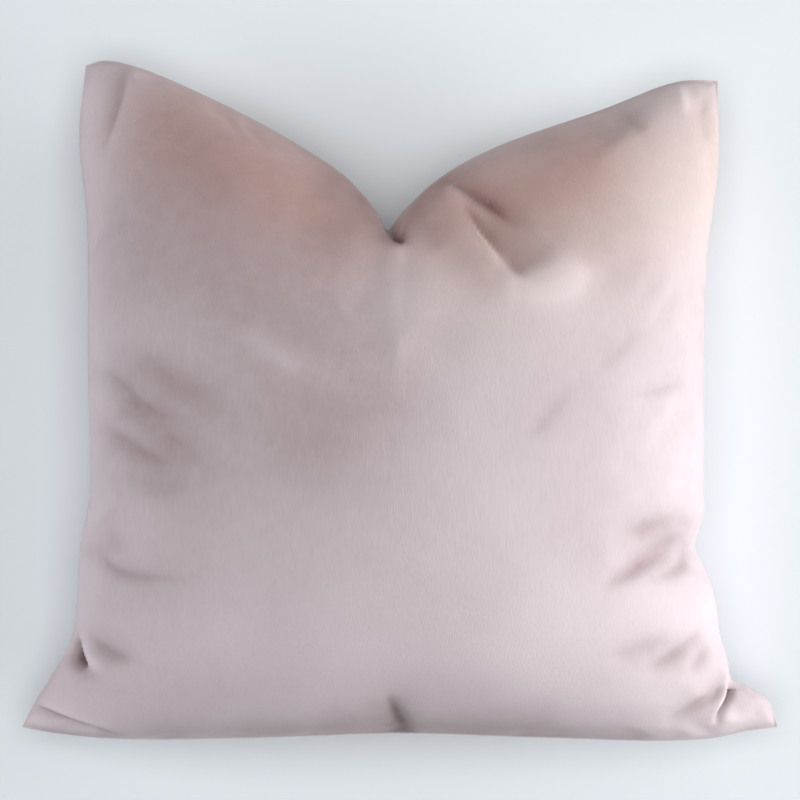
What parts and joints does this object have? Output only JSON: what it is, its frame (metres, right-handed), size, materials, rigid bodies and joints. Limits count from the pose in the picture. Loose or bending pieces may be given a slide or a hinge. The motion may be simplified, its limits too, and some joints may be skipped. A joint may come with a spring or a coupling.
{
  "type": "cushion cover",
  "caption": "Plain velvet scatter cushion cover on its filling, a soft square with a knife-edge seam and a chopped dip in the top edge.",
  "frame": {"origin": "middle of the cushion's outline, on the surface that it lies on", "axes": "+Z out of the front face, +Y towards the edge with the dip, +X to the right seen from the front"},
  "size_m": [0.492, 0.4398, 0.1644],
  "materials": {
    "velvet": "dusty pink plush velvet with a short, soft nap"
  },
  "bodies": {
    "root": {"cushion_cover": "velvet"}
  },
  "joints": []
}
